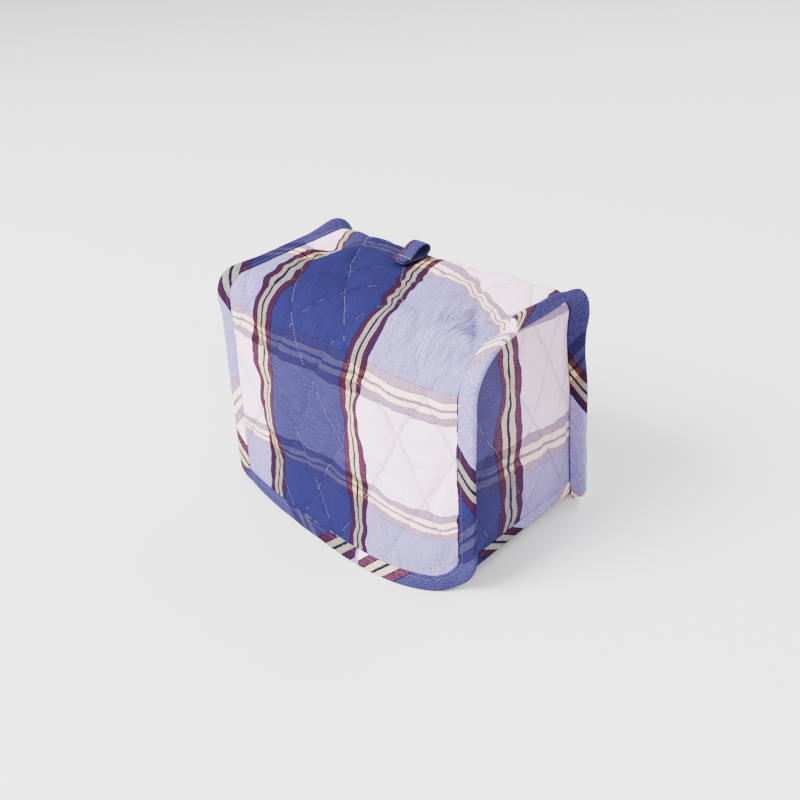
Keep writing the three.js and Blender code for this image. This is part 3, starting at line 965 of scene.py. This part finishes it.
def end_panel(name, node, side):
    patch = end_patch(side)
    outline = end_outline(side)
    places = {}

    def flat(across, up):
        key = (round(across, 4), round(up, 4))
        if key not in places:
            places[key] = patch(across, up)
        return places[key]

    def lines(across, up):
        y, z = flat(across, up)
        step_y = (y - end_anchor[0]) / diamond_width
        step_z = (z - end_anchor[1]) / end_diamond_height
        return step_y + step_z, step_y - step_z

    def place(across, up):
        y, z = flat(across, up)
        edge = distance_to(outline, flat(across, up))
        puff = puff_height * puff_at(*lines(across, up))
        out = (puff + slack(y, z, 8 + side)) * eased(edge / flat_margin)
        return Vector((side * (end_face_x(side, y, z, edge) + out), y, z)) + frame_shift

    def weave(across, up):
        """Blue before and below the middles of the two groups, and white after and above them."""
        y, z = flat(across, up)
        middle = stripe_spacing * 1.5
        next_group = middle + stripe_spacing
        marks = (middle - stripe_half, middle, middle + stripe_half, next_group - stripe_half)
        upright = row_at(end_upright, "z", z)
        level = row_at(end_level, "y", y)
        warp_pairs = zip((upright["left"], upright["mid"], upright["right"], end_back_edge), marks)
        weft_pairs = zip((level["low"], level["mid"], level["high"], level["next"]), marks)
        cell = lines(across, up)
        return (through(list(warp_pairs), y + stitch_shift(cell, y, z, 30 + side)),
                through(list(weft_pairs), z + stitch_shift(cell, y, z, 40 + side)))

    def mirrored(source):
        return source if side > 0 else lambda across, up: source(1 - across, up)

    material = quilted_material(
        name + "_quilt", diamond_width, end_diamond_height, end_crepe, end_fading)
    layers = {"flat": mirrored(flat), "weave": mirrored(weave), "quilt": mirrored(lines)}
    piece = grid_piece(name, end_columns, end_rows, mirrored(place), layers, material)
    thicken(piece, quilt_thickness)
    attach(piece, "root")
    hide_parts(node)
    return piece


end_right = end_panel("end_cloth_right", "end_panel_right", 1)
end_left = end_panel("end_cloth_left", "end_panel_left", -1)


# Edge binding.
# One bias-cut strip of the check, folded over the main panel's raw edge and topstitched all round.
# It is the hem at the front and back and the flange at both sides, with its stripes on the diagonal.
binding_step = 4
strip_middle = binding_width / 2
diagonal_share = 0.707
bias_slubs = 0.7
# Section of the strip: distance out from the seam, and height over the panel's outer face.
binding_section = [
    (-0.8, 0.2), (-0.4, 0.75), (1.0, 1.0), (3.0, 1.1), (5.4, 1.25), (8, 1.3), (10.8, 1.2),
    (13.4, 0.8), (15.2, 0.0), (15.9, -1.2), (16, -2.0), (15.9, -2.9), (15.2, -4.1), (13.4, -4.8),
    (10.8, -5.2), (8, -5.4), (5.2, -5.5), (2.5, -5.6), (0.6, -5.7), (-0.8, -5.8), (-0.9, -5.2),
]

# Place of the strip in the woven check, by u on the front and back and by v on the sides.
# It meets itself at the front left corner, five repeats of the weave further on.
weave_jump = Vector((5 * weave_repeat, 5 * weave_repeat))
strip_front = table(
    "at warp weft",
    (-156, 308, 219), (-33, 384, 295), (14, 413, 324), (41, 430, 341), (42, 515, 436),
    (66, 531, 452), (92, 547, 468), (114, 560, 484), (156, 587, 511),
)
strip_right = table(
    "at warp weft",
    (0, 566, 492), (64, 607, 531), (126, 649, 569), (250, 726, 642), (280, 738, 676),
    (306, 769, 694), (469, 857, 780), (491, 872, 795), (630, 966, 889),
)
strip_back = table(
    "at warp weft",
    (-156, 1160, 1068), (156, 966, 889),
)
strip_left = table(
    "at warp weft",
    (0, 1493, 1417), (31, 1475, 1398), (100, 1436, 1357), (240, 1357, 1273), (298, 1324, 1239),
    (420, 1255, 1166), (630, 1160, 1068),
)


def straight(amount):
    return amount


def strip_place(rows, at):
    row = row_at(rows, "at", at, blend=straight)
    return Vector((row["warp"], row["weft"]))


def arc_end(corner, degrees):
    """Point and way out on a rounded corner of the panel."""
    u, v, radius, _ = corner
    inner = radius - binding_width
    centre_u = u - math.copysign(inner, u)
    centre_v = v + (inner if v < cloth_length / 2 else -inner)
    way = Vector((math.cos(math.radians(degrees)), math.sin(math.radians(degrees))))
    return Vector((centre_u, centre_v)) + way * inner, way


def binding_stations():
    """Seam point, way out from it and place in the check, at steps round the panel's edge."""
    low, high = binding_width, cloth_length - binding_width
    corners = [
        (-panel_half_width, low, binding_corners["front_left"], 180),
        (panel_half_width, low, binding_corners["front_right"], 270),
        (panel_half_width, high, binding_corners["back_right"], 0),
        (-panel_half_width, high, binding_corners["back_left"], 90),
    ]
    sides = [(strip_front, 0), (strip_right, 1), (strip_back, 0), (strip_left, 1)]
    stations = []
    for k, corner in enumerate(corners):
        turn_steps = max(5, round(corner[2] * math.pi / 2 / binding_step))
        table_before, axis_before = sides[k - 1]
        table_after, axis_after = sides[k]
        first, _ = arc_end(corner, corner[3])
        last, way_after = arc_end(corner, corner[3] + 90)
        before = strip_place(table_before, first[axis_before])
        after = strip_place(table_after, last[axis_after])
        if k == 0:
            before -= weave_jump
        for m in range(turn_steps + 1):
            place, way = arc_end(corner, corner[3] + 90 * m / turn_steps)
            stations.append((place, way, before.lerp(after, m / turn_steps)))
        following = corners[(k + 1) % 4]
        end, _ = arc_end(following, following[3])
        steps = round((end - last).length / binding_step)
        for m in range(1, steps):
            place = last.lerp(end, m / steps)
            stations.append((place, way_after, strip_place(table_after, place[axis_after])))
    return stations


def bias_material(name, axis, place, share, thread):
    """Bias-cut check cotton with a line of stitches at a place along it (axis 0) or across it (1)."""
    material, tree = cotton_material(name)
    flat = uv_place(tree, "flat")
    cloth = group_node(tree, woven_check, weave=uv_place(tree, "weave"), slubs=bias_slubs, fading=0)
    places = split_place(tree, flat)
    off = math_of(tree, "ABSOLUTE", math_of(tree, "SUBTRACT", places[axis], place))
    near = math_of(tree, "LESS_THAN", off, 0.3)
    dash = math_of(tree, "LESS_THAN", beat_of(tree, places[1 - axis], 2.8), 0.62)
    stitch = product_of(tree, near, dash, share)
    ripples = product_of(tree, noise_of(tree, flat, 0.16, 0.05, 1), 1.6)
    groove = product_of(tree, falling_off(tree, off, 1.1), -0.6)
    colour = colour_mix(tree, stitch, cloth.outputs["Color"], (*thread, 1))
    cotton_surface(tree, colour, sum_of(tree, cloth.outputs["Height"], ripples, groove))
    return material


def ring_strip(name, rings, section_places, weave_offsets, material, is_loop):
    """A closed strip through rings of points, each with its length and its place in the check."""
    marks = [(ring["length"], ring["check"]) for ring in rings]
    if is_loop:
        marks.append((rings[-1]["length"] + binding_step, rings[0]["check"] + weave_jump))
    spans = len(marks) - 1
    size = len(rings[0]["points"])

    def point(along, around):
        return rings[round(along * spans) % len(rings)]["points"][round(around * size) % size]

    def flat(along, around):
        return marks[round(along * spans)][0], section_places[round(around * size)]

    def weave(along, around):
        return marks[round(along * spans)][1] + Vector(weave_offsets[round(around * size)])

    piece = grid_piece(name, spans, size, point, {"flat": flat, "weave": weave}, material)
    shape = bmesh.new()
    shape.from_mesh(piece.data)
    bmesh.ops.remove_doubles(shape, verts=shape.verts, dist=1e-6)
    open_edges = [edge for edge in shape.edges if edge.is_boundary]
    if open_edges:
        bmesh.ops.holes_fill(shape, edges=open_edges, sides=0)
    bmesh.ops.recalc_face_normals(shape, faces=shape.faces)
    shape.to_mesh(piece.data)
    shape.free()
    return piece


def around_places(section):
    """Distance round a section from its first point, across the strip's own width."""
    places = [section[0][0]]
    for (a, b), (c, d) in zip(section, section[1:] + section[:1]):
        places.append(places[-1] + math.hypot(c - a, d - b))
    return places


def settled(point):
    """Lets a point that is almost on the floor touch it."""
    if point.z < piece_gap:
        point.z = 0
    return point


def plumped(across, out, swell):
    """Swells the outer face in the middle of the strip."""
    return out + (swell if out > 0 else 0) * (1 - abs(across - strip_middle) / strip_middle)


def binding_rings():
    rings = []
    length = 0
    previous = None
    for place, way, check in binding_stations():
        middle = cloth_point(place.x + way.x * strip_middle, place.y + way.y * strip_middle)
        length += 0 if previous is None else (middle - previous).length
        previous = middle
        swell = noise.noise(Vector((length / 14, 2, 5))) * 0.35
        points = []
        for across, out in binding_section:
            wave = noise.noise(Vector((length / 22, 7, 1))) * 0.6 * across / binding_width
            reach = min(across + wave, binding_width)
            u, v = place.x + way.x * reach, place.y + way.y * reach
            points.append(settled(cloth_point(u, v, plumped(across, out, swell))))
        rings.append({"points": points, "length": length, "check": check})
    return rings


def bias_offsets(places):
    """The weave runs at 45 degrees to the strip, whose tables hold for its middle."""
    offsets = [(place - strip_middle) * diagonal_share for place in places]
    return [(offset, -offset) for offset in offsets]


bias_cotton = bias_material("bias_check", 1, 3.0, 0.2, (0.30, 0.28, 0.42))
binding_places = around_places(binding_section)
binding_offsets = bias_offsets(binding_places)
edge_binding = ring_strip(
    "edge_binding_strip", binding_rings(), binding_places, binding_offsets, bias_cotton, True)
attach(edge_binding, "root")
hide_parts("edge_binding")


# End hems.
# Two bias-cut strips of the check, folded over the lower edges of the ends and topstitched.
# Each runs from the front hem to the back hem.
end_hem_inset = 6
end_hem_steps = 60
strip_end = table(
    "at warp weft",
    (-90, 329, 396), (-59, 310.5, 385), (-26, 295, 372), (4, 279.5, 353), (66, 244, 310),
    (78, 236, 303), (97, 223, 287), (104, 218, 282),
)


def end_hem(name, node, side):
    middle = end_hem_width / 2
    seam = side * panel_half_width
    start, end = (
        (cloth_point(seam, v, -end_hem_inset) - frame_shift).y
        for v in (end_hem_front + middle, cloth_length - end_hem_back - middle)
    )
    front, back = seam_inset(side, end_low_front), seam_inset(side, end_low_back)
    rings = []
    for k in range(end_hem_steps + 1):
        y = start + (end - start) * k / end_hem_steps
        top = front.y + (back.y - front.y) * (y - front.x) / (back.x - front.x)
        x = end_face_x(side, y, top, 0)
        swell = noise.noise(Vector((y / 12, side, 9))) * 0.4
        points = []
        for across, out in binding_section:
            down = across * end_hem_width / binding_width
            face = x + plumped(across, out, swell)
            points.append(Vector((side * face, y, top - down)) + frame_shift)
        rings.append({"points": points, "length": y - start, "check": strip_place(strip_end, y)})
    piece = ring_strip(name, rings, binding_places, binding_offsets, bias_cotton, False)
    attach(piece, "root")
    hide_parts(node)


end_hem("end_hem_strip_right", "end_hem_right", 1)
end_hem("end_hem_strip_left", "end_hem_left", -1)


# Hanging loop.
# A narrow strip of the cotton with its edges turned in, doubled over into an eye.
# Both ends lie on each other and are stitched down on the top.
loop_thickness = 2
loop_foot = Vector((-30, 34.5))
loop_turn = math.radians(-8)
# Its place in the check gives a narrow burgundy stripe by the left edge, and blue over the rest.
loop_check = Vector((79, 195))
# The strip's path from end to end, as distance back from its foot and height.
loop_path = [
    (0, 1), (10, 1), (20, 1), (28, 1.6), (33.5, 4), (36, 8), (33.5, 12), (28, 13.4), (21, 11.4),
    (14.5, 6.6), (9.5, 3.6), (0, 3.3),
]
loop_seam = 9
loop_steps = 60
curve_steps = 12


def smooth_path(points, steps):
    """Evenly spaced points on a smooth curve through the given ones."""
    fine = []
    padded_points = [points[0], *points, points[-1]]
    for k in range(1, len(padded_points) - 2):
        before, start, end, after = (Vector(point) for point in padded_points[k - 1:k + 3])
        bend = 2 * before - 5 * start + 4 * end - after
        twist = 3 * start - before - 3 * end + after
        for m in range(curve_steps):
            t = m / curve_steps
            fine.append(0.5 * (2 * start + (end - before) * t + bend * t**2 + twist * t**3))
    fine.append(Vector(points[-1]))
    distances = [0]
    for start, end in zip(fine, fine[1:]):
        distances.append(distances[-1] + (end - start).length)
    path = []
    for k in range(steps + 1):
        wanted = distances[-1] * k / steps
        index = max(i for i, distance in enumerate(distances[:-1]) if distance <= wanted + 1e-9)
        span = distances[index + 1] - distances[index]
        path.append(fine[index].lerp(fine[index + 1], (wanted - distances[index]) / span))
    return path


loop_low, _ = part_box("hanging_loop")
path = smooth_path(loop_path, loop_steps)
path_low = min(point.y for point in path) - loop_thickness / 2
loop_section = [(-9, 0), (-8.7, 0.8), (-6, 1), (0, 1.05), (6, 1), (8.7, 0.8), (9, 0),
                (8.7, -0.8), (6, -1), (0, -1), (-6, -1), (-8.7, -0.8)]


def loop_place(across, back, height):
    turned = Vector((across, back))
    turned.rotate(Matrix.Rotation(loop_turn, 2))
    return Vector((*(loop_foot + turned), height + loop_low.z * 1000 - path_low)) + frame_shift


loop_rings = []
loop_length = 0
for k, point in enumerate(path):
    if k:
        loop_length += (point - path[k - 1]).length
    ahead = (path[min(k + 1, loop_steps)] - path[max(k - 1, 0)]).normalized()
    points = [
        loop_place(across, point.x - ahead.y * out, point.y + ahead.x * out)
        for across, out in loop_section
    ]
    check = loop_check + Vector((0, loop_length))
    loop_rings.append({"points": points, "length": loop_length, "check": check})

loop_across = [across for across, _ in loop_section + loop_section[:1]]
loop_offsets = [(across, 0) for across in loop_across]
loop_cotton = bias_material("loop_cotton", 0, loop_length - loop_seam, 0.8, (0.62, 0.60, 0.66))
hanging_loop = ring_strip(
    "hanging_loop_strip", loop_rings, loop_across, loop_offsets, loop_cotton, False)
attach(hanging_loop, "root")
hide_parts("hanging_loop")
